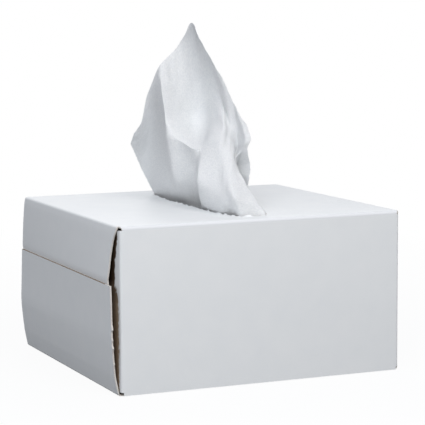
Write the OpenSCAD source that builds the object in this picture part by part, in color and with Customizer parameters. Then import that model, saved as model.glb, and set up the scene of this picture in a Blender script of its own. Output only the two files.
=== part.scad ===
// Pop-up box of lens cleaning wipes: a folded and glued carton with a slot torn open in its top panel,
// the stack of folded wipes inside it, and the wipe that stands in the slot.
// The front faces -Y, +Z is up, and the origin is the middle of the carton's underside.

/* [Carton] */
// Length of the front panel
carton_w = 125; // [115:1:160]
// Depth of the top panel, from front to back
carton_d = 121; // [110:1:160]
// Height of the front panel
carton_h = 68; // [60:1:100]
// Thickness of the board
board = 0.6; // [0.4:0.1:0.8]
// Outside radius of the four long folds
fold_r = 1.4; // [1:0.1:2.5]
// Height of the glue tab inside the front panel
glue_tab_h = 13; // [8:1:20]

/* [End flaps] */
// Length of the upper end flap, which hangs from the top panel
upper_flap_l = 27; // [15:0.5:40]
// How far the lower end flap is glued over the upper one
flap_lap = 3; // [2:0.5:12]
// Length of the four dust flaps behind the end flaps
dust_flap_l = 40; // [20:1:52]
// Outside radius of the folds at the ends
end_fold_r = 1.1; // [0.9:0.1:2]
// How far the upper flap of the sprung left end stands out at its free edge
left_bulge = 1.7; // [0.2:0.1:4]
// How far the lower flap of the sprung left end bows out
left_bow = 1.3; // [0.2:0.1:4]
// How far the upper flap of the tight right end stands out at its free edge
right_bulge = 0.1; // [0.1:0.1:4]
// How far the lower flap of the tight right end bows out
right_bow = 0.2; // [0.1:0.1:4]
// How much narrower an upper flap gets towards its free edge, on each side
upper_taper = 5.5; // [0.5:0.5:10]
// How much narrower a lower flap gets towards its free edge, on each side
lower_taper = 0.6; // [0:0.2:5]

/* [Slot] */
// Width of the slot at its middle
slot_w = 20.6; // [16:0.2:40]
// Board left between an end of the slot and the edge of the top panel
slot_margin = 7.5; // [6:0.5:20]

/* [Wipes] */
// Room between a folded side of the stack and the end of the carton
side_room = 7; // [3:0.5:15]
// Room between the stack and the front and back panels
face_room = 2.3; // [1:0.1:10]
// Free height between the stack and the top panel
head_room = 14.2; // [10:0.2:30]
// Radius of the folded edges of the stack
stack_edge_r = 2; // [0.5:0.5:5]
// How far the peak of the raised wipe stands above the top panel
wipe_rise = 78; // [60:1:100]
// Thickness of a wipe, with the air between its plies
wipe_t = 0.4; // [0.3:0.05:0.6]

/* [Hidden] */
$fn = 64;

// Board: the strips behind an end fold, the notches, tapers and bows of the flaps, and the glue lines
end_strip = 6;
corner_notch = 1.6;
dust_taper = 5;
glue_tab_bevel = 8;
upper_bow_share = 0.35;
lower_flap_l = carton_h - upper_flap_l + flap_lap;
glue_gap = 0.15;
seam_sink = 0.15;
fold_step = 0.05;
flap_overrun = 0.2;
cut_past = 1;

// Slot: an oval with blunt ends
slot_l = carton_d - 2 * slot_margin;
slot_bluntness = 3.6;
slot_steps = 96;

// Stack: what is left inside the carton once its rooms are taken off
stack_w = carton_w - 2 * board - 2 * side_room;
wipe_w = carton_d - 3 * board - 2 * face_room;
stack_h = carton_h - 2 * board - head_room;
stack_top = board + stack_h;

// Raised wipe. Each rib runs from the slot up to the free edge along one fold. Its points were placed by eye
// and give millimetres to the right, to the back and above the top panel, for the slot and rise named here.
rib_slot = [20.6, 106];
rib_rise = 78;
ribs = [
    [[-4, 47, 0], [-8, 45, 6], [-13, 42, 13], [-18, 38, 20], [-21, 34, 25]],
    [[-7, 34, 0], [-9, 36, 7], [-11, 37, 17], [-14, 34, 27], [-18, 30, 34]],
    [[-8.5, 18, 0], [-9, 22, 9], [-10, 27, 22], [-12, 27, 36], [-17, 24, 47]],
    [[-9, 1, 0], [-12, 5, 14], [-14, 8, 30], [-13, 14, 45], [-15, 18, 58]],
    [[-9, -9, 0], [-10, -2, 12], [-13, -4, 28], [-10, 8, 46], [-8, 10, 69]],
    [[-8.5, -21, 0], [-7, -10, 11], [-10, -14, 26], [-5, 2, 46], [-4, 5, 78]],
    [[-8.5, -28, 0], [-11, -24, 13], [-7, -16, 28], [0, -1, 46], [-1, 0, 70]],
    [[-7, -39, 0], [-10, -36, 13], [-2, -18, 30], [4, -5, 44], [3, -6, 58]],
    [[-4, -46, 0], [-6, -42, 13], [1, -24, 29], [6, -12, 38], [7, -12, 47]],
    [[3, -51, 0], [-1, -45, 12], [0, -32, 23], [7, -22, 32], [9, -20, 38]],
    [[6, -38, 0], [7, -30, 10], [10, -24, 18], [11, -20, 24], [14, -18, 29]],
    [[7, -28, 0], [10, -16, 9], [11, -12, 16], [13, -8, 21], [16, -6, 26]]
];
rib_steps = 4;

// Lying half: folded once near the side of the stack, with its free end under the ply that goes up to the slot
rest_gap = 0.2;
ply_gap = 2.75 * wipe_t;
fold_x = stack_w / 2 - 4;
free_end_x = 10;
bend_x = 4;
bend_gather = 0.5;
lie_z = stack_top + rest_gap + wipe_t / 2;
ply_z = lie_z + ply_gap;
neck_pull = 0.6;

// A rectangle on its centre with round corners
module rounded(w, h, r) {
    square([w - 2 * r, h], center = true);
    square([w, h - 2 * r], center = true);
    for (x = [-1, 1], y = [-1, 1])
        translate([x * (w / 2 - r), y * (h / 2 - r)])
            circle(r);
}

// A band of board of even thickness round a rectangle with round folds
module board_ring(w, h, r) {
    difference() {
        rounded(w, h, r);
        rounded(w - 2 * board, h - 2 * board, r - board);
    }
}

// Sketches in YZ and XZ, drawn out along the other axis about the middle
module along_x(l) rotate([90, 0, 90]) linear_extrude(l, center = true) children();
module along_y(l) rotate([90, 0, 0]) linear_extrude(l, center = true) children();

// A quarter of a fold, round its own centre, in the corner that the two signs name
module fold_quarter(sx, sz) {
    intersection() {
        difference() {
            circle(end_fold_r);
            circle(end_fold_r - board);
        }
        translate([sx < 0 ? -end_fold_r : 0, sz < 0 ? -end_fold_r : 0])
            square(end_fold_r);
    }
}

// A strip of board whose outer face runs up from p to q on an arc, bowed out to the right
module bowed_strip(p, q, bow) {
    chord = norm(q - p);
    arc_r = chord * chord / (8 * bow) + bow / 2;
    translate(p)
        rotate(atan2(q.y - p.y, q.x - p.x))
            intersection() {
                translate([chord / 2, arc_r - bow])
                    difference() {
                        circle(arc_r, $fn = 720);
                        circle(arc_r - board, $fn = 720);
                    }
                translate([-flap_overrun, -bow - cut_past])
                    square([chord + 2 * flap_overrun, bow + 2 * cut_past + board]);
            }
}

// Top, front, bottom and back panels with their long folds
module panel_tube() {
    along_x(carton_w - 2 * end_fold_r)
        translate([0, carton_h / 2])
            board_ring(carton_d, carton_h, fold_r);
}

// Four dust flaps, each with the strip of front or back panel that it is folded from
module dust_flaps() {
    reach = carton_d / 2 - fold_r;
    for (x = [-1, 1], y = [-1, 1])
        intersection() {
            translate([0, 0, corner_notch])
                linear_extrude(carton_h - 2 * corner_notch)
                    intersection() {
                        board_ring(carton_w, carton_d, end_fold_r);
                        translate([x * carton_w / 2, y * carton_d / 2])
                            square([2 * end_strip, 2 * dust_flap_l], center = true);
                    }
            along_x(carton_w + 2 * cut_past)
                polygon([
                    [y * carton_d, 0],
                    [y * reach, 0],
                    [y * (reach - dust_flap_l), corner_notch + dust_taper],
                    [y * (reach - dust_flap_l), carton_h - corner_notch - dust_taper],
                    [y * reach, carton_h],
                    [y * carton_d, carton_h]
                ]);
        }
}

// The glue tab, turned up from the bottom panel inside the front one
module glue_tab() {
    half = carton_w / 2 - end_strip;
    translate([0, -carton_d / 2 + board, 0])
        rotate([90, 0, 180])
            linear_extrude(board)
                polygon([
                    [-half, board],
                    [half, board],
                    [half - glue_tab_bevel, glue_tab_h],
                    [-half + glue_tab_bevel, glue_tab_h]
                ]);
}

// The two end flaps of the right end, each with its fold and the strip of panel behind it
module end_flaps(bulge, bow) {
    face = carton_w / 2 + board + glue_gap;
    half = carton_d / 2 - fold_r;
    upper_tip = carton_h - upper_flap_l;
    seam_out = bulge + board - seam_sink;
    intersection() {
        along_y(carton_d) {
            translate([face - end_fold_r, carton_h - end_fold_r])
                fold_quarter(1, 1);
            translate([face - end_fold_r - end_strip, carton_h - board])
                square([end_strip, board]);
            bowed_strip(
                [face + bulge, upper_tip],
                [face - fold_step, carton_h - end_fold_r],
                bulge * upper_bow_share
            );
        }
        along_x(2 * carton_w)
            polygon([
                [half, carton_h],
                [-half, carton_h],
                [-half + upper_taper, upper_tip],
                [half - upper_taper, upper_tip]
            ]);
    }
    intersection() {
        along_y(carton_d) {
            translate([face - end_fold_r, end_fold_r])
                fold_quarter(1, -1);
            translate([face - end_fold_r - end_strip, 0])
                square([end_strip, board]);
            bowed_strip([face - fold_step, end_fold_r], [face + seam_out, lower_flap_l], bow);
        }
        along_x(2 * carton_w)
            polygon([
                [half, 0],
                [-half, 0],
                [-half + lower_taper, lower_flap_l],
                [half - lower_taper, lower_flap_l]
            ]);
    }
}

// The oval that is torn out of the top panel
module slot_oval() {
    power = 2 / slot_bluntness;
    polygon([
        for (i = [0 : slot_steps - 1])
            let (c = cos(360 * i / slot_steps), s = sin(360 * i / slot_steps))
            [slot_w / 2 * sign(c) * pow(abs(c), power), slot_l / 2 * sign(s) * pow(abs(s), power)]
    ]);
}

module carton() {
    color("#ECEEEE")
        difference() {
            union() {
                panel_tube();
                dust_flaps();
                glue_tab();
                end_flaps(right_bulge, right_bow);
                mirror([1, 0, 0])
                    end_flaps(left_bulge, left_bow);
            }
            translate([0, 0, carton_h - board - cut_past])
                linear_extrude(board + 2 * cut_past)
                    slot_oval();
        }
}

module wipe_stack() {
    color("#F1F4F6")
        translate([0, 0, board + stack_h / 2])
            along_y(wipe_w)
                rounded(stack_w, stack_h, stack_edge_r);
}

// A smooth curve through four points, from the second to the third
function eased(a, b, c, d, t) =
    (2 * b + (c - a) * t + (2 * a - 5 * b + 4 * c - d) * t * t + (3 * b - a - 3 * c + d) * t * t * t) / 2;

// The point at place s along a list of points, with the ends carried straight on
function along(points, s) =
    let (last = len(points) - 1, i = min(floor(s), last - 1))
    eased(
        i > 0 ? points[i - 1] : 2 * points[0] - points[1],
        points[i],
        points[i + 1],
        i + 2 > last ? 2 * points[last] - points[last - 1] : points[i + 2],
        s - i
    );

// A rib's point at its place over this carton
function placed(p) = [
    p.x * slot_w / rib_slot.x,
    p.y * slot_l / rib_slot.y,
    carton_h + p.z * wipe_rise / rib_rise
];

// One whole rib: the half that lies on the stack, the bend, the neck under the slot, and the half that stands
function whole_rib(j) =
    let (lie_y = wipe_w * (0.5 - j / (len(ribs) - 1)), foot = placed(ribs[j][0]))
    concat(
        [
            [free_end_x, lie_y, lie_z],
            [(free_end_x + fold_x) / 2, lie_y, lie_z],
            [fold_x - ply_gap, lie_y, lie_z],
            [fold_x, lie_y, (lie_z + ply_z) / 2],
            [fold_x - ply_gap, lie_y, ply_z],
            [(bend_x + fold_x) / 2, lie_y, ply_z],
            [bend_x, lie_y + (foot.y - lie_y) * bend_gather, ply_z],
            [foot.x * neck_pull, foot.y, carton_h - head_room / 2]
        ],
        [for (p = ribs[j]) placed(p)]
    );

// The wipe's middle surface, row by row from the end that lies to the free edge, never below the stack
function wipe_rows() =
    let (whole = [for (j = [0 : len(ribs) - 1]) whole_rib(j)])
    [
        for (v = [0 : rib_steps * (len(whole[0]) - 1)])
            let (across = [for (rib = whole) along(rib, v / rib_steps)])
            [
                for (u = [0 : rib_steps * (len(ribs) - 1)])
                    let (p = along(across, u / rib_steps))
                    [p.x, p.y, max(p.z, lie_z)]
            ]
    ];

// The direction that the surface faces at one point of the grid
function facing(rows, v, u) =
    let (
        n = cross(
            rows[v][min(u + 1, len(rows[0]) - 1)] - rows[v][max(u - 1, 0)],
            rows[min(v + 1, len(rows) - 1)][u] - rows[max(v - 1, 0)][u]
        )
    )
    n / norm(n);

// A closed sheet of even thickness on a grid of points
module thin_sheet(rows, t) {
    nv = len(rows);
    nu = len(rows[0]);
    side = nv * nu;
    points = [
        for (s = [-1, 1], v = [0 : nv - 1], u = [0 : nu - 1])
            rows[v][u] + s * t / 2 * facing(rows, v, u)
    ];
    under = [
        for (v = [0 : nv - 2], u = [0 : nu - 2])
            let (a = v * nu + u)
            each [[a, a + 1, a + nu + 1], [a, a + nu + 1, a + nu]]
    ];
    over = [for (f = under) [f[2] + side, f[1] + side, f[0] + side]];
    rim = concat(
        [for (u = [0 : nu - 2]) u],
        [for (v = [0 : nv - 2]) v * nu + nu - 1],
        [for (u = [nu - 1 : -1 : 1]) (nv - 1) * nu + u],
        [for (v = [nv - 1 : -1 : 1]) v * nu]
    );
    edges = [
        for (i = [0 : len(rim) - 1])
            let (a = rim[i], b = rim[(i + 1) % len(rim)])
            each [[b, a, a + side], [b, a + side, b + side]]
    ];
    polyhedron(points, concat(under, over, edges));
}

module raised_wipe() {
    color("#F4F7F9")
        thin_sheet(wipe_rows(), wipe_t);
}

carton();
wipe_stack();
raised_wipe();
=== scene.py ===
# %% [markdown]
# # A pop-up box of lens cleaning wipes
#
# The object is a small carton folded from one piece of white coated board, the stack of folded wipes in it,
# and the wipe that stands in the torn slot, ready to be pulled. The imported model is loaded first, because it
# holds the real sizes. Every piece below is then modelled in its place, in metres, with +Z up and the front
# panel towards -Y.

# %% The frame
import math

import bmesh
import bpy
from mathutils import Matrix, Vector, noise


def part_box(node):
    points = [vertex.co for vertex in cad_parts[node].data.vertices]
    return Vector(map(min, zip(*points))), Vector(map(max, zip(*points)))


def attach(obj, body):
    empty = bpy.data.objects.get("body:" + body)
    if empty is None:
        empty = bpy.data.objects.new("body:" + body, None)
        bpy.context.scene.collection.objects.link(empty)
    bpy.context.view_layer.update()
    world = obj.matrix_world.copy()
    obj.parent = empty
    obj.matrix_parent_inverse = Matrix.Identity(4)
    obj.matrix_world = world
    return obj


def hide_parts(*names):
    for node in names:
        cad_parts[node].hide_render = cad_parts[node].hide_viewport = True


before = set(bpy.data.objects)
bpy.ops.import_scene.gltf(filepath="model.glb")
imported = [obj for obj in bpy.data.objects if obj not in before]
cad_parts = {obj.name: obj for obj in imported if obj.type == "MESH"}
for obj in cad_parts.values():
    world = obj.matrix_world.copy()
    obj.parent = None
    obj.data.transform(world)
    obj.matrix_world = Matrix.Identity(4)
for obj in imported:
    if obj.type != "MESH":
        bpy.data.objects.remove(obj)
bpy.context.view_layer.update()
bpy.ops.object.select_all(action="DESELECT")
MM = 0.001

# %% [markdown]
# ## The camera
#
# The photograph was taken from a little above the box, turned to its left end, with a long lens. The place,
# the turn and the lens were fitted to the carton's seven visible corners. The camera's own axes are worked
# out from azimuth, elevation and roll, so each of the three can be changed by itself.

# %% Camera
AZIMUTH, ELEVATION, ROLL = (math.radians(angle) for angle in (-23.45997, 6.80939, -0.3325))
CAMERA_PLACE = Vector((-0.30886, -0.71977, 0.15746))
PHOTO_SIDE = 425
FOCAL_PIXELS = 1807.784

backward = Vector(
    (
        math.sin(AZIMUTH) * math.cos(ELEVATION),
        -math.cos(AZIMUTH) * math.cos(ELEVATION),
        math.sin(ELEVATION),
    )
)
level_right = (-backward).cross(Vector((0, 0, 1))).normalized()
roll_turn = Matrix.Rotation(-ROLL, 3, -backward)
camera_right = roll_turn @ level_right
camera_up = backward.cross(camera_right)

bpy.ops.object.camera_add(location=CAMERA_PLACE)
camera = bpy.context.object
camera.name = "photo_camera"
camera.rotation_euler = Matrix((camera_right, camera_up, backward)).transposed().to_euler()
camera.data.sensor_width = 36
camera.data.lens = FOCAL_PIXELS * camera.data.sensor_width / PHOTO_SIDE
bpy.context.scene.camera = camera


def seen_at(pixel_x, pixel_y, depth_mm):
    """The point that the camera sees at a pixel of the photograph, at a depth along Y in millimetres."""
    middle = PHOTO_SIDE / 2
    sight = (
        -backward
        + camera_right * (pixel_x - middle) / FOCAL_PIXELS
        - camera_up * (pixel_y - middle) / FOCAL_PIXELS
    )
    return CAMERA_PLACE + sight * (depth_mm * MM - CAMERA_PLACE.y) / sight.y


print("lens", round(camera.data.lens, 1), "mm")

# %% [markdown]
# ## Helpers for materials
#
# A colour is easiest to compare with a picture as an sRGB hex value, but a shader wants linear numbers, so one
# function turns it. A second one adds a node: what is named in `values` is set on the sockets, or linked where
# the value is another node's output. A third one starts an empty material, and the last one turns the real size
# of a pattern into a texture's scale.

# %% Colour and nodes
def linear(code):
    """An sRGB hex colour as linear red, green and blue, with an alpha of 1."""
    parts = [int(code[i : i + 2], 16) / 255 for i in (1, 3, 5)]
    return [p / 12.92 if p <= 0.04045 else ((p + 0.055) / 1.055) ** 2.4 for p in parts] + [1]


def add_node(tree, kind, values=None, **settings):
    """A new node with its settings, and its sockets set or linked."""
    made = tree.nodes.new(kind)
    for name, value in settings.items():
        setattr(made, name, value)
    for socket, value in (values or {}).items():
        if isinstance(value, bpy.types.NodeSocket):
            tree.links.new(value, made.inputs[socket])
        else:
            made.inputs[socket].default_value = value
    return made


def new_material(name):
    """An empty node material, its tree and its output node."""
    material = bpy.data.materials.new(name)
    material.use_nodes = True
    material.node_tree.nodes.clear()
    return material, material.node_tree, add_node(material.node_tree, "ShaderNodeOutputMaterial")


def per_mm(size_mm):
    """The scale that makes one feature of a texture as large as size_mm, on coordinates in metres."""
    return 1 / (size_mm * MM)


print("white board as linear", [round(c, 3) for c in linear("#F1F3F2")])

# %% [markdown]
# ## White coated board
#
# Folding carton board is pressed wood fibre with a thin coat of white clay on the side that shows. The coat is
# matt to silky, with a faint cloudiness where the fibre under it takes up more or less of it, and a fine tooth.
# Where a fold was scored and rubbed, the coat is polished, and its colour is a little greyer: painted shade that
# tones down the fold's bright highlight. At the sprung end the coat of one dust flap has torn off with the glue,
# and the brown fibre shows; in the upper part of the patch it is darkened with painted shade, for the deep gap
# under the sprung flap. Two attributes on the carton's points, which are stored later, say where the folds and
# the patch are. A noise frays the patch's border.

# %% Coated board
COAT_WHITE, COAT_CLOUD = linear("#EEF0F0"), linear("#E8EBEC")
# Painted shade: the rubbed folds are coloured greyer than the coat, to tone down their bright highlight.
COAT_FOLD_PAINTED_SHADE = linear("#E4E6E8")
FIBRE_DARK, FIBRE_LIGHT = linear("#8E7A65"), linear("#BDAA93")
# Painted shade: from 36 to 46 mm up, the bare fibre darkens to a deep brown, for the shadowed gap under the sprung
# flap.
FIBRE_PAINTED_SHADE = linear("#4A3B2E")
CLOUD_MM, TOOTH_MM, FIBRE_MM, FRAY_MM = 9, 0.45, 0.7, 2.5
GAP_SHADE_FROM, GAP_SHADE_TO = 36 * MM, 46 * MM
NOISE_MIDDLE, FRAY_FROM, FRAY_TO = 0.5, 0.4, 0.6

coated_board, tree, output = new_material("white_coated_board")
place = add_node(tree, "ShaderNodeTexCoord").outputs["Object"]
axes = add_node(tree, "ShaderNodeSeparateXYZ", {"Vector": place}).outputs
cloud = add_node(tree, "ShaderNodeTexNoise", {"Vector": place, "Scale": per_mm(CLOUD_MM), "Detail": 4.0})
coat = add_node(
    tree,
    "ShaderNodeMix",
    {"Factor": cloud.outputs["Fac"], "A": COAT_WHITE, "B": COAT_CLOUD},
    data_type="RGBA",
)
fold_polish_and_shade = add_node(tree, "ShaderNodeAttribute", attribute_name="fold_polish_and_shade").outputs["Fac"]
# Painted shade: on the rubbed folds the coat is mixed towards a greyer colour, to tone down their highlight.
coat = add_node(
    tree,
    "ShaderNodeMix",
    {"Factor": fold_polish_and_shade, "A": coat.outputs["Result"], "B": COAT_FOLD_PAINTED_SHADE},
    data_type="RGBA",
)
# Painted shade of the gap under the sprung flap, darkening the bare fibre towards the top.
gap_shade = add_node(
    tree, "ShaderNodeMapRange", {"Value": axes["Z"], "From Min": GAP_SHADE_FROM, "From Max": GAP_SHADE_TO}
)
fibre = add_node(tree, "ShaderNodeTexNoise", {"Vector": place, "Scale": per_mm(FIBRE_MM), "Detail": 6.0})
bare = add_node(
    tree,
    "ShaderNodeMix",
    {"Factor": fibre.outputs["Fac"], "A": FIBRE_DARK, "B": FIBRE_LIGHT},
    data_type="RGBA",
)
bare = add_node(
    tree,
    "ShaderNodeMix",
    {"Factor": gap_shade.outputs["Result"], "A": bare.outputs["Result"], "B": FIBRE_PAINTED_SHADE},
    data_type="RGBA",
)
torn = add_node(tree, "ShaderNodeAttribute", attribute_name="torn").outputs["Fac"]
fray = add_node(tree, "ShaderNodeTexNoise", {"Vector": place, "Scale": per_mm(FRAY_MM), "Detail": 8.0})
fray = add_node(tree, "ShaderNodeMath", {0: fray.outputs["Fac"], 1: NOISE_MIDDLE}, operation="SUBTRACT")
frayed = add_node(tree, "ShaderNodeMath", {0: torn, 1: fray.outputs[0]}, operation="ADD")
torn_mask = add_node(
    tree, "ShaderNodeMapRange", {"Value": frayed.outputs[0], "From Min": FRAY_FROM, "From Max": FRAY_TO}
)
colour = add_node(
    tree,
    "ShaderNodeMix",
    {"Factor": torn_mask.outputs["Result"], "A": coat.outputs["Result"], "B": bare.outputs["Result"]},
    data_type="RGBA",
)
tooth = add_node(tree, "ShaderNodeTexNoise", {"Vector": place, "Scale": per_mm(TOOTH_MM), "Detail": 3.0})
bump = add_node(
    tree, "ShaderNodeBump", {"Strength": 0.12, "Distance": 0.05 * MM, "Height": tooth.outputs["Fac"]}
)
roughness = add_node(tree, "ShaderNodeMapRange", {"Value": fold_polish_and_shade, "To Min": 0.65, "To Max": 0.5})
surface = add_node(
    tree,
    "ShaderNodeBsdfPrincipled",
    {
        "Base Color": colour.outputs["Result"],
        "Roughness": roughness.outputs["Result"],
        "IOR": 1.5,
        "Specular IOR Level": 0.05,
        "Normal": bump.outputs["Normal"],
    },
)
tree.links.new(surface.outputs["BSDF"], output.inputs["Surface"])
print(coated_board.name, len(tree.nodes), "nodes")

# %% [markdown]
# ## Brown inside and raw edge
#
# The inside of the carton is the bare brown fibre, without any coat. A cut edge shows the plies of the board:
# brown fibre under a pale skin. Both are matt. The plies run parallel to each panel, so on an edge a fine noise
# is enough to break them up.

# %% Bare board and cut edge
def bare_material(name, dark, light, grain_mm, bump_mm):
    """Matt fibre with two colours and a grain."""
    material, tree, output = new_material(name)
    place = add_node(tree, "ShaderNodeTexCoord").outputs["Object"]
    grain = add_node(tree, "ShaderNodeTexNoise", {"Vector": place, "Scale": per_mm(grain_mm), "Detail": 6.0})
    colour = add_node(
        tree,
        "ShaderNodeMix",
        {"Factor": grain.outputs["Fac"], "A": linear(dark), "B": linear(light)},
        data_type="RGBA",
    )
    bump = add_node(
        tree,
        "ShaderNodeBump",
        {"Strength": 0.3, "Distance": bump_mm * MM, "Height": grain.outputs["Fac"]},
    )
    surface = add_node(
        tree,
        "ShaderNodeBsdfPrincipled",
        {"Base Color": colour.outputs["Result"], "Roughness": 0.85, "IOR": 1.5, "Normal": bump.outputs["Normal"]},
    )
    tree.links.new(surface.outputs["BSDF"], output.inputs["Surface"])
    print(material.name, len(tree.nodes), "nodes")
    return material


bare_board = bare_material("bare_brown_board", "#75614C", "#947E66", 1.2, 0.08)
cut_edge = bare_material("cut_board_edge", "#C3BCB2", "#E4E1DC", 0.5, 0.05)

# %% [markdown]
# ## The carton: the torn slot and the top panel
#
# The real carton is die-cut from one flat sheet, creased, folded and glued, so it is modelled as one sheet too.
# It starts at the slot: a circle of edges is set out on the slot's blunt oval, with the small tufts that a
# perforation leaves when it is torn. Extruding that ring outwards gives the top panel. Each point keeps its
# number when it is extruded, so the last ring can be set out on the panel's rectangle. A Boolean cut would
# also give the slot, but the sheet would then need its thickness first, and the folds are easier without it.

# %% Outlines of the slot and the top panel
carton_low, carton_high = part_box("carton")
PANEL_W = 125 * MM
DEPTH = carton_high.y - carton_low.y
HEIGHT = carton_high.z
BOARD = 0.6 * MM
FOLD_R, END_FOLD_R = 1.4 * MM, 1.1 * MM
GLUE_GAP = 0.15 * MM
END_FACE = PANEL_W / 2 + BOARD + GLUE_GAP
TOP_X, TOP_Y = END_FACE - END_FOLD_R, DEPTH / 2 - FOLD_R
FRONT_X = PANEL_W / 2 - END_FOLD_R

SLOT_W = 20.6 * MM
SLOT_BACK, SLOT_FRONT = 52.5 * MM, 52.3 * MM
BACK_BLUNTNESS, FRONT_BLUNTNESS = 2.3, 3.6
RING_POINTS, OUTLINE_STEPS = 480, 7200


def evenly_spaced(outline, count):
    """A closed outline's points, set at equal distances."""
    gaps = [(b - a).length for a, b in zip(outline, outline[1:] + outline[:1])]
    step, made, walked, i = sum(gaps) / count, [], 0, 0
    for n in range(count):
        while walked + gaps[i] < n * step:
            walked += gaps[i]
            i += 1
        start, end = outline[i], outline[(i + 1) % len(outline)]
        made.append(start.lerp(end, (n * step - walked) / gaps[i]))
    return made


def slot_outline():
    """The slot's blunt oval, from the middle of its right side."""
    points = []
    for i in range(OUTLINE_STEPS):
        turn = math.tau * i / OUTLINE_STEPS
        across, along = math.cos(turn), math.sin(turn)
        reach, bluntness = (SLOT_BACK, BACK_BLUNTNESS) if along > 0 else (SLOT_FRONT, FRONT_BLUNTNESS)
        x, y = (math.copysign(abs(part) ** (2 / bluntness), part) for part in (across, along))
        points.append(Vector((x * SLOT_W / 2, y * reach, HEIGHT)))
    return evenly_spaced(points, RING_POINTS)


def panel_outline():
    """The flat top panel's rectangle, with as many points on each side."""
    corners = [(TOP_X, 0), (TOP_X, TOP_Y), (-TOP_X, TOP_Y), (-TOP_X, -TOP_Y), (TOP_X, -TOP_Y), (TOP_X, 0)]
    shares, points = (1, 2, 2, 2, 1), []
    for (a, b), share in zip(zip(corners, corners[1:]), shares):
        count = RING_POINTS * share // sum(shares)
        points += [Vector((*a, HEIGHT)).lerp(Vector((*b, HEIGHT)), i / count) for i in range(count)]
    return points


slot_points, panel_points = slot_outline(), panel_outline()
print("slot", round(SLOT_W / MM, 1), "x", round((SLOT_BACK + SLOT_FRONT) / MM, 1), "mm")

# %% Torn slot and top panel
RING_SHARES = (0.03, 0.12, 0.3, 0.6, 1)
TUFT_MM, TUFT_OUT, TUFT_UP = 1.2, 0.6 * MM, 0.8 * MM

bpy.ops.mesh.primitive_circle_add(vertices=RING_POINTS, radius=SLOT_W / 2)
carton = bpy.context.object
carton.name = "carton_board"
numbers = carton.data.attributes.new("number", "INT", "POINT")
for i, vertex in enumerate(carton.data.vertices):
    numbers.data[i].value = i
    tuft = max(0, noise.noise(slot_points[i] * per_mm(TUFT_MM)))
    inwards = -Vector((slot_points[i].x, slot_points[i].y, 0)).normalized()
    vertex.co = slot_points[i] + (inwards * TUFT_OUT + Vector((0, 0, TUFT_UP))) * tuft

bpy.ops.object.mode_set(mode="EDIT")
bpy.ops.mesh.select_all(action="SELECT")
for share in RING_SHARES:
    bpy.ops.mesh.extrude_edges_move()
    mesh = bmesh.from_edit_mesh(carton.data)
    number = mesh.verts.layers.int["number"]
    for vertex in mesh.verts:
        if vertex.select:
            vertex.co = slot_points[vertex[number]].lerp(panel_points[vertex[number]], share)
    bmesh.update_edit_mesh(carton.data)
print("top panel", len(mesh.faces), "faces")

# %% [markdown]
# ## The carton: front, back and bottom
#
# From here the sheet is folded as the machine folds it. The edges of one side are selected by their place and
# extruded along a path: a quarter of an arc for the crease, then straight down for the panel. The strip's width
# may change on the way, which is how a flap gets its taper. The front panel ends in a cut edge, and the bottom
# panel turns up behind it as the glue tab.

# %% Folding
NEAR = 0.01 * MM
FOLD_STEPS = 6
X, Y, Z = Vector((1, 0, 0)), Vector((0, 1, 0)), Vector((0, 0, 1))


def pick_edges(test):
    """Selects the edges, in edit mode, whose two ends pass a test of place."""
    bpy.ops.mesh.select_mode(type="EDGE")
    bpy.ops.mesh.select_all(action="DESELECT")
    mesh = bmesh.from_edit_mesh(bpy.context.object.data)
    for edge in mesh.edges:
        edge.select_set(all(test(end.co) for end in edge.verts))
    bmesh.update_edit_mesh(bpy.context.object.data)
    return sum(edge.select for edge in mesh.edges)


def draw_out(path, axis, widths, centre=(0, 0, 0)):
    """Extrudes the selected edges along a path. The strip grows or shrinks about a centre, as its widths do."""
    for start, end, width, next_width in zip(path, path[1:], widths, widths[1:]):
        bpy.ops.mesh.extrude_edges_move(TRANSFORM_OT_translate={"value": end - start})
        size = [1, 1, 1]
        size[axis] = next_width / width
        bpy.ops.transform.resize(value=size, center_override=centre)


def arc(middle, radius, first, last, across, up):
    """Points on an arc from one angle to another, in the plane of two directions."""
    angles = [math.radians(first + (last - first) * i / FOLD_STEPS) for i in range(FOLD_STEPS + 1)]
    return [middle + radius * (math.cos(a) * across + math.sin(a) * up) for a in angles]


def ramp(first, last, steps):
    """Numbers or points from one to another, at equal steps."""
    return [first + (last - first) * i / steps for i in range(steps + 1)]


print("a fold has", FOLD_STEPS, "steps")

# %% Front, back, bottom and glue tab
CORNER_NOTCH = 1.6 * MM
PANEL_ROWS, BOTTOM_ROWS = 16, 60
FRONT_LIFT = 0.3 * MM
TAB_H, TAB_R, TAB_GAP = 13 * MM, 1.2 * MM, 0.05 * MM
TAB_Y = -DEPTH / 2 + BOARD + TAB_GAP
TAB_FOOT, TAB_TIP = 56.5 * MM, 48.5 * MM

picked = pick_edges(lambda p: p.y < -TOP_Y + NEAR)
path = arc(Vector((0, -TOP_Y, HEIGHT - FOLD_R)), FOLD_R, 90, 180, Y, Z)
half_widths = ramp(TOP_X, FRONT_X, FOLD_STEPS)
rows = ramp(HEIGHT - CORNER_NOTCH, CORNER_NOTCH, PANEL_ROWS) + [FRONT_LIFT]
draw_out(path + [Vector((0, -DEPTH / 2, z)) for z in rows], 0, half_widths + [FRONT_X] * len(rows))
print("front panel from", picked, "edges")

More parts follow.
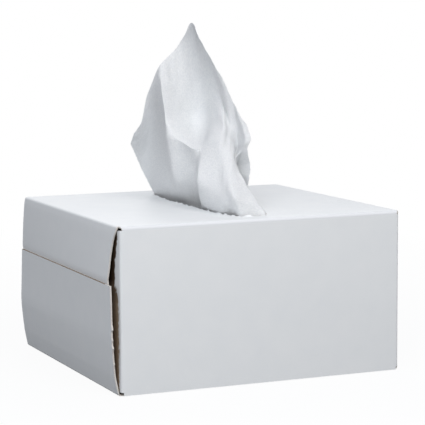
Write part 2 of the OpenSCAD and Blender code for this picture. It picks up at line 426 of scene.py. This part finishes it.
picked = pick_edges(lambda p: p.y > TOP_Y - NEAR)
path = arc(Vector((0, TOP_Y, HEIGHT - FOLD_R)), FOLD_R, 90, 0, Y, Z)
path += [Vector((0, DEPTH / 2, z)) for z in ramp(HEIGHT - CORNER_NOTCH, CORNER_NOTCH, PANEL_ROWS)]
half_widths = ramp(TOP_X, FRONT_X, FOLD_STEPS) + [FRONT_X] * (PANEL_ROWS + 1)
path += arc(Vector((0, TOP_Y, FOLD_R)), FOLD_R, 0, -90, Y, Z)
half_widths += ramp(FRONT_X, TOP_X, FOLD_STEPS)
path += [Vector((0, y, 0)) for y in ramp(TOP_Y, TAB_Y + TAB_R, BOTTOM_ROWS)[1:]]
half_widths += [TOP_X] * BOTTOM_ROWS
path += arc(Vector((0, TAB_Y + TAB_R, TAB_R)), TAB_R, -90, -180, Y, Z)[1:]
half_widths += [TAB_FOOT] * FOLD_STEPS
path.append(Vector((0, TAB_Y, TAB_H)))
half_widths.append(TAB_TIP)
draw_out(path, 0, half_widths)
print("back, bottom and glue tab from", picked, "edges")

# %% [markdown]
# ## The carton: dust flaps and end flaps
#
# At each end two dust flaps turn in from the front and back panels. Then the upper flap comes down from the top
# panel, and the lower one comes up over it and is glued to it. The right end lies tight. The left end has
# sprung: its upper flap leans out, and the lower one bows with a soft knee a third of the way up. A profile gives
# how far a flap stands out along its length, and an inset how far its front edge is cut back. Both are lists of
# a share of the length and millimetres. The last row of a flap is very narrow: on a lower flap it carries the
# chipped coat and the painted shade of the seam.

# %% Dust flaps
DUST_L, DUST_TAPER, DUST_ROWS = 40 * MM, 5 * MM, 12
dust_half = HEIGHT / 2 - CORNER_NOTCH

for side_x in (-1, 1):
    for side_y in (-1, 1):
        pick_edges(
            lambda p: p.x * side_x > FRONT_X - NEAR
            and p.y * side_y > DEPTH / 2 - NEAR
            and CORNER_NOTCH - NEAR < p.z < HEIGHT - CORNER_NOTCH + NEAR
        )
        middle = Vector((side_x * FRONT_X, side_y * (DEPTH / 2 - END_FOLD_R), HEIGHT / 2))
        path = arc(middle, END_FOLD_R, 90, 0, X * side_x, Y * side_y)
        path += ramp(path[-1], path[-1] - Y * side_y * (DUST_L - END_FOLD_R), DUST_ROWS)[1:]
        half_widths = [dust_half] * (FOLD_STEPS + 1) + ramp(dust_half, dust_half - DUST_TAPER, DUST_ROWS)[1:]
        draw_out(path, 2, half_widths, middle)
print("dust flaps, each", round(DUST_L / MM), "mm long")

# %% End flaps
UPPER_TIP, LOWER_TIP = 41 * MM, 44.5 * MM
UPPER_ROWS, LOWER_ROWS = 20, 40
CHIPPED_AND_SHADED_ROW = 0.1 * MM
UPPER_INSET = [(0, 0.7), (0.18, 3.1), (0.4, 4.3), (0.66, 4.8), (1, 6.2)]
LOWER_INSET = [(0, 0.2), (0.16, 0.6), (0.4, -0.35), (0.9, -0.4), (1, -0.1)]
LEFT_UPPER = [(0, 0), (0.07, 0.35), (0.5, 1.35), (0.8, 1.9), (0.87, 1.55), (1, 1.45)]
LEFT_LOWER = [
    (0, 0), (0.05, 0.45), (0.15, 1.25), (0.28, 1.9), (0.44, 2.5), (0.52, 2.62), (0.75, 2.5), (1, 2.4)
]
RIGHT_UPPER = [(0, 0), (1, 0.1)]
RIGHT_LOWER = [(0, 0), (0.5, 0.45), (1, 0.78)]
RIGHT_LOWER_INSET = [(0, 0.2), (0.3, 1.4), (1, 2.4)]


def read_off(profile, share):
    """A profile's value at a share of its length, in metres, between the points given in millimetres."""
    for (a, low), (b, high) in zip(profile, profile[1:]):
        if share <= b:
            return (low + (high - low) * (share - a) / (b - a)) * MM
    return profile[-1][1] * MM


def end_flap(side, top, tip, count, profile, inset):
    """One flap of an end, from the top or the bottom panel, on its crease and its profile."""
    level, up = (HEIGHT, 1) if top else (0, -1)
    pick_edges(lambda p: p.x * side > TOP_X - NEAR and abs(p.z - level) < NEAR)
    crease = arc(Vector((side * TOP_X, 0, level - up * END_FOLD_R)), END_FOLD_R, 90, 0, X * side, Z * up)
    shares = ramp(0, 1 - CHIPPED_AND_SHADED_ROW / abs(tip - level), count)[1:] + [1]
    foot = crease[-1]
    rows = [foot + X * side * read_off(profile, s) + Z * (tip - foot.z) * s for s in shares]
    insets = [0] + [inset[0][1] * MM] * FOLD_STEPS + [read_off(inset, s) for s in shares]
    draw_out(crease + rows, 1, [2 * TOP_Y - narrower for narrower in insets], Y * TOP_Y)


end_flap(-1, True, UPPER_TIP, UPPER_ROWS, LEFT_UPPER, UPPER_INSET)
end_flap(-1, False, LOWER_TIP, LOWER_ROWS, LEFT_LOWER, LOWER_INSET)
end_flap(1, True, UPPER_TIP, UPPER_ROWS, RIGHT_UPPER, UPPER_INSET)
end_flap(1, False, LOWER_TIP, LOWER_ROWS, RIGHT_LOWER, RIGHT_LOWER_INSET)
print("lower end flaps reach up to", round(LOWER_TIP / MM, 1), "mm")

# %% [markdown]
# ## The carton: twist and thickness
#
# The front corner of the left end has sprung further than the back one, so its flaps are twisted a little first.
# The sheet then gets its thickness inwards. Solidify can give the inner side and the rim materials of their own,
# so the inside is brown and the cut edge shows its plies, with nothing to select by hand.

# %% Twist and thickness
TWIST, TWIST_FROM = 0.25, 20 * MM
BARE, EDGE = 1, 2

bpy.ops.mesh.select_all(action="SELECT")
bpy.ops.mesh.normals_make_consistent(inside=False)
bpy.ops.object.mode_set(mode="OBJECT")
carton.data.attributes.remove(carton.data.attributes["number"])

for vertex in carton.data.vertices:
    out = -END_FACE - vertex.co.x
    if out > 0:
        below, above = vertex.co.z - TWIST_FROM, HEIGHT - vertex.co.z
        share = min(1, below / (LOWER_TIP - TWIST_FROM), above / (HEIGHT - LOWER_TIP))
        vertex.co.x += out * TWIST * max(0, share) * vertex.co.y / TOP_Y

for material in (coated_board, bare_board, cut_edge):
    carton.data.materials.append(material)

thickness = carton.modifiers.new("board", "SOLIDIFY")
thickness.thickness = BOARD
thickness.offset = -1
thickness.use_even_offset = True
thickness.material_offset = BARE
thickness.material_offset_rim = EDGE
bpy.ops.object.modifier_apply(modifier=thickness.name)
print("board", round(BOARD / MM, 1), "mm,", len(carton.data.polygons), "faces")

# %% [markdown]
# ## The carton: wear and painted shade
#
# Handling shows at the seam and at the sprung end. Where the lower flap's tip lies over the upper flap, its coat
# is chipped off along the cut, and the narrow last row of faces gets the bare board: with it the seam is a fine
# dark line, partly chipped coat and partly painted shade of the gap between the flaps. A few points of the lower
# flap's front edge are drawn out, where fibres were pulled from the cut. Two attributes are then stored on the
# points for the coat's material: which points lie on a rubbed fold, for its polish and its painted shade, and
# where the coat of the left front dust flap is torn off. Painting a mask by hand would do it too, but a rule of
# place can be read.

# %% Chipped seam with painted shade, and pulled fibres
# Behind OVER_UPPER the lower flap lies over the upper one. Each pulled tuft has a height and a length.
OVER_UPPER = -TOP_Y + 6.5 * MM
SEAM_BAND = 1.5 * CHIPPED_AND_SHADED_ROW
TUFTS_PULLED_MM = ((28.6, 0.5), (27.4, 0.9), (23, 0.4), (19.6, 0.7), (13.2, 0.4))
PULLED_DEPTH, PULLED_HALF_H = 1.5 * MM, 0.56 * MM


def on_tip(p):
    """Whether a point lies in the narrow last row of a lower flap."""
    return LOWER_TIP - SEAM_BAND < p.z < LOWER_TIP + NEAR and abs(p.x) > PANEL_W / 2


# Painted shade: besides the chipped coat, the bare board on this narrow row stands for the shade in the gap
# between the flaps.
chipped_and_shaded = 0
for face in carton.data.polygons:
    if face.center.y > OVER_UPPER and all(on_tip(carton.data.vertices[i].co) for i in face.vertices):
        face.material_index = BARE
        chipped_and_shaded += 1

for vertex in carton.data.vertices:
    if vertex.co.x < -END_FACE and vertex.co.y < -TOP_Y + PULLED_DEPTH:
        for height, length in TUFTS_PULLED_MM:
            if abs(vertex.co.z - height * MM) < PULLED_HALF_H:
                vertex.co.y -= length * MM
print(chipped_and_shaded, "chipped faces,", len(TUFTS_PULLED_MM), "tufts of pulled fibre")

# %% Rubbed folds with painted shade, and torn coat
# The coat ends at these distances from the carton's middle: low down, at the seam and at the top. Above TORN_TOP
# its border is sharper.
TORN_LOW, TORN_SEAM, TORN_HIGH = 58.2 * MM, 53.8 * MM, 58 * MM
TORN_TOP, TORN_FADE, TORN_FADE_HIGH = 42 * MM, 5 * MM, 2 * MM


def clamped(share):
    """A share, kept between 0 and 1."""
    return max(0, min(1, share))


def torn_share(p):
    """How far the dust flap's coat is torn off at a point: all of it behind a strip along the front fold."""
    low = clamped((TORN_TOP - p.z) / TORN_FADE + 0.5)
    high_strip = TORN_SEAM + (TORN_HIGH - TORN_SEAM) * max(0, (p.z - LOWER_TIP) / (HEIGHT - LOWER_TIP))
    strip = high_strip + (TORN_LOW - high_strip) * low
    fade = TORN_FADE_HIGH + (TORN_FADE - TORN_FADE_HIGH) * low
    return clamped((p.y + strip) / fade + 0.5)


# The folds' attribute sets both their polish and their painted shade.
fold_polish_and_shade_points = carton.data.attributes.new("fold_polish_and_shade", "FLOAT", "POINT")
torn_patch = carton.data.attributes.new("torn", "FLOAT", "POINT")
for i, vertex in enumerate(carton.data.vertices):
    p = vertex.co
    depth_in = min(DEPTH / 2 - abs(p.y), HEIGHT - p.z)
    on_fold = abs(p.y) > TOP_Y + NEAR and p.z > HEIGHT - FOLD_R - NEAR and depth_in < FOLD_R
    fold_polish_and_shade_points.data[i].value = 1 if on_fold else 0
    on_dust = -PANEL_W / 2 - NEAR < p.x < -FRONT_X and p.y < 0 and CORNER_NOTCH - NEAR < p.z < HEIGHT - FOLD_R
    torn_patch.data[i].value = torn_share(p) if on_dust else 0

bpy.ops.object.select_all(action="DESELECT")
carton.select_set(True)
bpy.context.view_layer.objects.active = carton
bpy.ops.object.shade_smooth_by_angle(angle=math.radians(35))
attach(carton, "root")
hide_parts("carton")
print("torn at", sum(point.value > 0 for point in torn_patch.data), "points")

# %% [markdown]
# ## Nonwoven wipe
#
# The wipes are a soft nonwoven tissue, a web of short fibres with no weave. It is bright, very matt, and thin
# enough for light to soak through where only one layer stands. Fibre clumps give a faint cloudiness some
# millimetres wide, and single fibres a fine nap and a speckle. On the raised wipe the pattern lies on the UV map,
# so it follows the folds, and on the stack it lies on Object coordinates. The fibres themselves are far finer than
# a pixel, so the nap is drawn at 0.7 mm.

# %% Wipe material
TISSUE_BRIGHT, TISSUE_CLUMP = linear("#F2F3F2"), linear("#D7DADD")
WIPE_W, WIPE_L = 114.6 * MM, 213 * MM
CLUMP_MM, NAP_MM = 2.6, 0.7
SPECKLE_FROM, SPECKLE_TO, SPECKLE_SHARE = 0.3, 0.7, 0.5


def tissue_material(name, coordinates, size):
    """Nonwoven tissue whose pattern lies on the named coordinates, which are brought to metres by size."""
    material, tree, output = new_material(name)
    source = add_node(tree, "ShaderNodeTexCoord").outputs[coordinates]
    place = add_node(tree, "ShaderNodeMapping", {"Vector": source, "Scale": size}).outputs["Vector"]
    clump = add_node(tree, "ShaderNodeTexNoise", {"Vector": place, "Scale": per_mm(CLUMP_MM), "Detail": 5.0})
    nap = add_node(tree, "ShaderNodeTexNoise", {"Vector": place, "Scale": per_mm(NAP_MM), "Detail": 4.0})
    speckle = add_node(
        tree,
        "ShaderNodeMapRange",
        {"Value": nap.outputs["Fac"], "From Min": SPECKLE_FROM, "From Max": SPECKLE_TO},
    )
    both = add_node(
        tree,
        "ShaderNodeMix",
        {"Factor": SPECKLE_SHARE, "A": clump.outputs["Fac"], "B": speckle.outputs["Result"]},
    )
    colour = add_node(
        tree,
        "ShaderNodeMix",
        {"Factor": both.outputs["Result"], "A": TISSUE_BRIGHT, "B": TISSUE_CLUMP},
        data_type="RGBA",
    )
    bump = add_node(
        tree, "ShaderNodeBump", {"Strength": 0.9, "Distance": 0.3 * MM, "Height": nap.outputs["Fac"]}
    )
    surface = add_node(
        tree,
        "ShaderNodeBsdfPrincipled",
        {
            "Base Color": colour.outputs["Result"],
            "Roughness": 0.9,
            "IOR": 1.45,
            "Specular IOR Level": 0.2,
            "Subsurface Weight": 0.12,
            "Subsurface Radius": (1, 1, 1),
            "Subsurface Scale": 0.5 * MM,
            "Normal": bump.outputs["Normal"],
        },
    )
    tree.links.new(surface.outputs["BSDF"], output.inputs["Surface"])
    print(material.name, len(tree.nodes), "nodes")
    return material


wipe_tissue = tissue_material("nonwoven_wipe", "UV", (WIPE_W, WIPE_L, 1))
stack_tissue = tissue_material("folded_nonwoven_stack", "Object", (1, 1, 1))

# %% [markdown]
# ## The stack of folded wipes
#
# Some hundreds of wipes lie folded into each other. Only their edges and the top one can be seen through the
# slot, so they are one block. A plane the size of a folded wipe is extruded up layer by layer: each layer
# swells out at its middle, as a fold does, and lies a little off the one below. One drawn layer stands for about
# six wipes, because single ones would be too fine to show.

# %% Stack
stack_low, stack_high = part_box("wipe_stack")
STACK_CUTS, LAYERS = 23, 44
SWELL, SHIFT = 0.35 * MM, 0.2 * MM
ROUND_SHARE, FLAT_SHARE = 0.3, 0.4
LEAN_STEP, LEAN_ROWS = 1.7, (0.3, 8.1)
stack_w, stack_d = stack_high.x - stack_low.x, stack_high.y - stack_low.y
layer_h = (stack_high.z - stack_low.z) / LAYERS
inner = Vector((1 - 2 * SWELL / stack_w, 1 - SWELL / stack_d, 1))
outer = Vector((1 / inner.x, 1 / inner.y, 1))

bpy.ops.object.select_all(action="DESELECT")
bpy.ops.mesh.primitive_plane_add(size=1)
stack = bpy.context.object
stack.name = "stacked_wipes"
bpy.ops.object.mode_set(mode="EDIT")
bpy.ops.transform.translate(value=(0, 0, stack_low.z))
bpy.ops.transform.resize(value=(stack_w * inner.x, stack_d * inner.y, 1), center_override=(0, 0, 0))
bpy.ops.mesh.subdivide(number_cuts=STACK_CUTS)
for layer in range(LAYERS):
    lean = Vector([noise.noise((layer * LEAN_STEP, row, 0)) for row in LEAN_ROWS] + [0]) * SHIFT
    bpy.ops.mesh.extrude_region_move(TRANSFORM_OT_translate={"value": Z * layer_h * ROUND_SHARE + lean})
    bpy.ops.transform.resize(value=outer, center_override=(0, 0, 0))
    bpy.ops.mesh.extrude_region_move(TRANSFORM_OT_translate={"value": Z * layer_h * FLAT_SHARE})
    bpy.ops.mesh.extrude_region_move(TRANSFORM_OT_translate={"value": Z * layer_h * ROUND_SHARE - lean})
    bpy.ops.transform.resize(value=inner, center_override=(0, 0, 0))
bpy.ops.mesh.select_all(action="SELECT")
bpy.ops.mesh.normals_make_consistent(inside=False)
bpy.ops.object.mode_set(mode="OBJECT")
stack.data.materials.append(stack_tissue)
bpy.ops.object.shade_smooth_by_angle(angle=math.radians(50))
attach(stack, "root")
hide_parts("wipe_stack")
stack_top = max(vertex.co.z for vertex in stack.data.vertices)
print("stack", len(stack.data.polygons), "faces, up to", round(stack_top / MM, 2), "mm")

# %% [markdown]
# ## The wipe in the slot
#
# A pulled wipe keeps the folds that the slot pressed into it. Cloth simulation gives soft drapes, but not these
# particular creases, so the sheet is laid on ribs: each rib runs along one fold, from the slot up to the free
# edge, and its points were placed against the photograph. A point is a pixel's x and y there, and a depth
# along Y in millimetres, which was judged by the shading. Below the slot every rib goes on to the half that lies
# folded on the stack. A grid is then carried over the ribs by smooth curves. A crease of 1 lets such a curve turn
# a sharp corner at its rib or at its waist, and 0 keeps it round. A solidify gives the thin cloth.

# %% Ribs of the wipe
RIBS = [
    [(155.5, 196.8, 46.5), (152.3, 189.5, 46.5), (146.8, 179, 44.5), (140.5, 166, 42),
     (137, 158, 40), (133.5, 150, 37), (130.7, 143.8, 34)],
    [(160, 198, 40), (156.5, 186, 38), (153, 172, 38), (149, 158, 37),
     (145.5, 148, 36), (140, 140, 33), (134.2, 133.5, 30)],
    [(168, 201, 31), (164, 187, 27), (160, 168, 28), (156, 149, 29),
     (152, 135, 29), (147, 126, 28), (141, 123.5, 27)],
    [(176, 203.5, 22), (172, 189, 16), (167, 168, 16), (162, 142, 17),
     (158, 122, 19), (153, 106, 21), (147, 97, 22)],
    [(184, 206, 15), (180, 192, 6), (173, 175, 2), (167, 135, 1),
     (165, 114, 5), (161.5, 90, 9.5), (159.5, 65.5, 15)],
    [(190, 208, 8), (187, 193, 2), (183, 174, -3), (181, 141.5, -5),
     (180, 118, 9.5), (177, 93, 13), (171, 54, 17)],
    [(204.5, 211.5, 0), (201, 195.5, -4), (197, 176, -9), (194.7, 149.6, -14),
     (194, 123, 13), (191, 93, 16), (182, 40, 16.5)],
    [(203, 211, -14), (199.5, 195, -23), (197.5, 177, -24.5), (202, 145.5, -13),
     (205, 123, 9), (201, 88, 14.5), (191.5, 22.8, 10)],
    [(211, 213, -25), (209, 198, -32), (207, 178, -28.8), (211.7, 137.5, -16.5),
     (213.5, 117, 0), (210, 86, 7.5), (199.5, 39, 4)],
    [(222, 214.6, -37), (221, 200, -42), (219, 180, -35), (220, 142.5, -23),
     (223.5, 124, -13), (220, 95, 1), (210.5, 58, -1)],
    [(233, 216, -42.4), (227.8, 199.5, -46), (224.5, 180, -38.7), (225.5, 147.5, -25.5),
     (227.5, 130, -13.5), (224.5, 106, -4), (216.5, 69, -3)],
    [(240.5, 216, -49.5), (234.5, 197.5, -50.5), (230, 180, -41), (233.3, 152, -27),
     (232, 135, -14), (229, 116, -9), (222.5, 79, -5)],
    [(265.1, 215, -50.8), (256, 200.6, -48), (246, 184, -39.8), (235, 163, -30.5),
     (237, 149, -17), (238, 130, -14), (233, 102, -10)],
    [(266, 214.6, -47.8), (255.2, 200, -45.5), (245.6, 184, -39), (236, 163, -27),
     (240, 148.5, -21), (241.5, 133, -19.5), (236.5, 109, -12.5)],
    [(246, 205, -28), (242, 189, -23), (239, 176, -20), (237, 164, -18),
     (243, 148, -25), (245, 136, -25), (240, 116, -15)],
    [(250, 205, -38), (247.7, 187, -33), (249.6, 176, -29), (250.3, 165, -26),
     (247, 149.6, -26), (250.9, 138.5, -27), (246, 124, -20)],
]
LOW_CREASE = [0, 0.4, 0, 0, 0.6, 0, 0.4, 0.9, 0, 0.1, 0.1, 0.6, 0.9, 0.9, 0.4, 0]
HIGH_CREASE = [0, 0.4, 0.2, 0, 0.6, 0, 0, 0, 0, 0.3, 0, 0.5, 0.5, 0, 0.5, 0]
WAIST_CREASE = [0, 0, 0, 0, 0.6, 0.9, 1, 0.9, 0.9, 0.6, 0.5, 0.4, 0.3, 0.3, 0.3, 0]
WAIST_ROW = 3
FREE_END_X, BEND_X, FOLD_X = 10 * MM, 4 * MM, stack_w / 2 - 4 * MM
PLY_GAP, REST_GAP = 1.1 * MM, 0.3 * MM
BEND_GATHER, NECK_PULL, NECK_DROP = 0.5, 0.6, 7.1 * MM

lie_z = stack_high.z + REST_GAP
ply_z = lie_z + PLY_GAP


def whole_rib(j):
    """One rib from the free end on the stack, round the fold, up the neck and along its fold to the free edge."""
    risen = [seen_at(*p) for p in RIBS[j]]
    foot = risen[0]
    lie_y = WIPE_W * (0.5 - j / (len(RIBS) - 1))
    bend_y = lie_y + (foot.y - lie_y) * BEND_GATHER
    lying = [
        (FREE_END_X, lie_y, lie_z),
        ((FREE_END_X + FOLD_X) / 2, lie_y, lie_z),
        (FOLD_X - PLY_GAP, lie_y, lie_z),
        (FOLD_X, lie_y, (lie_z + ply_z) / 2),
        (FOLD_X - PLY_GAP, lie_y, ply_z),
        ((BEND_X + FOLD_X) / 2, lie_y, ply_z),
        (BEND_X, bend_y, ply_z),
        (foot.x * NECK_PULL, foot.y, HEIGHT - NECK_DROP),
    ]
    return [Vector(p) for p in lying] + risen


whole = [whole_rib(j) for j in range(len(RIBS))]
lying_points = len(whole[0]) - len(RIBS[0])
waist = lying_points + WAIST_ROW
print(len(whole), "ribs of", len(whole[0]), "points")

# %% Sheet over the ribs
FINE = 8
CRINKLE, CRINKLE_STEP, CRINKLE_WAY = 0.4 * MM, 0.27, Vector((0.4, -1, 0))
CRINKLE_DROP, CRINKLE_FINER, CRINKLE_OCTAVES = 0.7, 2.2, 4
across_steps, along_steps = FINE * (len(RIBS) - 1), FINE * (len(whole[0]) - 1)


def on_curve(points, creases, place):
    """The point at a place along a smooth curve through points, with a crease from 0 to 1 at each of them."""
    i = min(int(place), len(points) - 2)
    t = place - i
    a, b = points[i], points[i + 1]
    before = points[i - 1] if i else 2 * a - b
    after = points[i + 2] if i + 2 < len(points) else 2 * b - a
    leaving = ((b - before) / 2).lerp(b - a, creases[i])
    arriving = ((after - a) / 2).lerp(b - a, creases[i + 1])
    return (
        a * (2 * t**3 - 3 * t**2 + 1)
        + leaving * (t**3 - 2 * t**2 + t)
        + arriving * (t**3 - t**2)
        + b * (3 * t**2 - 2 * t**3)
    )


bpy.ops.object.select_all(action="DESELECT")
bpy.ops.mesh.primitive_grid_add(x_subdivisions=across_steps, y_subdivisions=along_steps, size=1)
wipe = bpy.context.object
wipe.name = "pulled_wipe"
for v in range(along_steps + 1):
    row = []
    for rib, crease in zip(whole, WAIST_CREASE):
        creases = [0] * len(rib)
        creases[waist] = crease
        row.append(on_curve(rib, creases, v / FINE))
    high = clamped(v / FINE - waist + 0.5)
    creases = [low + (top - low) * high for low, top in zip(LOW_CREASE, HIGH_CREASE)]
    for u in range(across_steps + 1):
        point = on_curve(row, creases, u / FINE)
        if v > FINE * lying_points:
            place = Vector((u, v, 0)) * CRINKLE_STEP
            rise = noise.fractal(place, CRINKLE_DROP, CRINKLE_FINER, CRINKLE_OCTAVES)
            point += CRINKLE_WAY * CRINKLE * rise
        point.z = max(point.z, lie_z)
        wipe.data.vertices[v * (across_steps + 1) + u].co = point
wipe.data.materials.append(wipe_tissue)
sheet_area = sum(face.area for face in wipe.data.polygons)
print("wipe", len(wipe.data.polygons), "faces,", round(sheet_area / (WIPE_W * WIPE_L), 3), "of its flat area")

# %% Wipe's thickness
WIPE_T = 0.14 * MM

cloth = wipe.modifiers.new("cloth", "SOLIDIFY")
cloth.thickness = WIPE_T
cloth.offset = 0
bpy.ops.object.modifier_apply(modifier=cloth.name)
bpy.ops.object.shade_smooth_by_angle(angle=math.radians(60))
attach(wipe, "root")
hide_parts("raised_wipe")
heights = [vertex.co.z / MM for vertex in wipe.data.vertices]
print("wipe from", round(min(heights), 1), "to", round(max(heights), 1), "mm")

# %% [markdown]
# ## Floor, light and background
#
# The photograph is a cut-out on white, under soft studio light: a key above the front, a fill from the front
# left, and a weaker light from behind that throws the wipe's faint shadow on the top panel. The floor looks pale
# and keeps the box's shadow. Light Path lifts it towards white for the camera only, so that no extra light falls
# on the object. Reflections and glass are counted as the camera. The floor's own grey throws little light up.

# %% Floor
FLOOR_GREY, WHITE = linear("#424446"), (1, 1, 1, 1)
FADE_FROM, FADE_TO = 0.12, 0.45


def seen_directly(tree):
    """The output that is 1 for what the camera sees, and 0 for what lights the object."""
    light_path = add_node(tree, "ShaderNodeLightPath").outputs
    seen = light_path["Is Camera Ray"]
    for ray in ("Is Glossy Ray", "Is Transmission Ray"):
        seen = add_node(tree, "ShaderNodeMath", {0: seen, 1: light_path[ray]}, operation="MAXIMUM").outputs[0]
    return seen


bpy.ops.object.select_all(action="DESELECT")
bpy.ops.mesh.primitive_plane_add(size=6)
floor = bpy.context.object
floor.name = "floor"

pale_floor, tree, output = new_material("pale_floor")
matt = add_node(tree, "ShaderNodeBsdfDiffuse", {"Color": FLOOR_GREY})
lift = add_node(tree, "ShaderNodeEmission", {"Color": WHITE, "Strength": 0.93})
near_floor = add_node(tree, "ShaderNodeAddShader", {0: matt.outputs[0], 1: lift.outputs[0]})
far_floor = add_node(tree, "ShaderNodeEmission", {"Color": WHITE, "Strength": 1.0})
place = add_node(tree, "ShaderNodeTexCoord").outputs["Object"]
distance = add_node(tree, "ShaderNodeVectorMath", {0: place}, operation="LENGTH").outputs["Value"]
far = add_node(tree, "ShaderNodeMapRange", {"Value": distance, "From Min": FADE_FROM, "From Max": FADE_TO})
lifted = add_node(
    tree,
    "ShaderNodeMixShader",
    {"Fac": far.outputs["Result"], 1: near_floor.outputs[0], 2: far_floor.outputs[0]},
)
shown = add_node(
    tree, "ShaderNodeMixShader", {"Fac": seen_directly(tree), 1: matt.outputs[0], 2: lifted.outputs[0]}
)
tree.links.new(shown.outputs[0], output.inputs["Surface"])
floor.data.materials.append(pale_floor)
print(pale_floor.name, len(tree.nodes), "nodes")

# %% Lights and world
# Each lamp has a place, an aim, a size, a power in watts and a colour.
LAMPS = {
    "key_softbox": ((0.05, -0.46, 0.43), (0, 0, 0.06), 0.25, 0.96, "#FFFBF7"),
    "back_light": ((0.2, 0.9, 0.45), (0, 0, 0.08), 0.2, 1.9, "#FFFDFA"),
    "front_fill": ((-0.38, -0.6, 0.4), (0, 0, 0.04), 0.4, 2.4, "#FAFCFF"),
}
for name, (place, aim, size, power, colour) in LAMPS.items():
    bpy.ops.object.light_add(type="AREA", location=place)
    lamp = bpy.context.object
    lamp.name = name
    lamp.data.size = size
    lamp.data.energy = power
    lamp.data.color = linear(colour)[:3]
    lamp.rotation_euler = (Vector(aim) - Vector(place)).to_track_quat("-Z", "Y").to_euler()

world = bpy.data.worlds.new("studio")
bpy.context.scene.world = world
world.use_nodes = True
tree = world.node_tree
tree.nodes.clear()
output = add_node(tree, "ShaderNodeOutputWorld")
ambient = add_node(tree, "ShaderNodeBackground", {"Color": linear("#F4F6FE"), "Strength": 0.59})
white = add_node(tree, "ShaderNodeBackground", {"Color": WHITE, "Strength": 1.0})
mixed = add_node(
    tree, "ShaderNodeMixShader", {"Fac": seen_directly(tree), 1: ambient.outputs[0], 2: white.outputs[0]}
)
tree.links.new(mixed.outputs[0], output.inputs["Surface"])
bpy.context.scene.view_settings.view_transform = "Standard"
print("lamps", sorted(LAMPS))
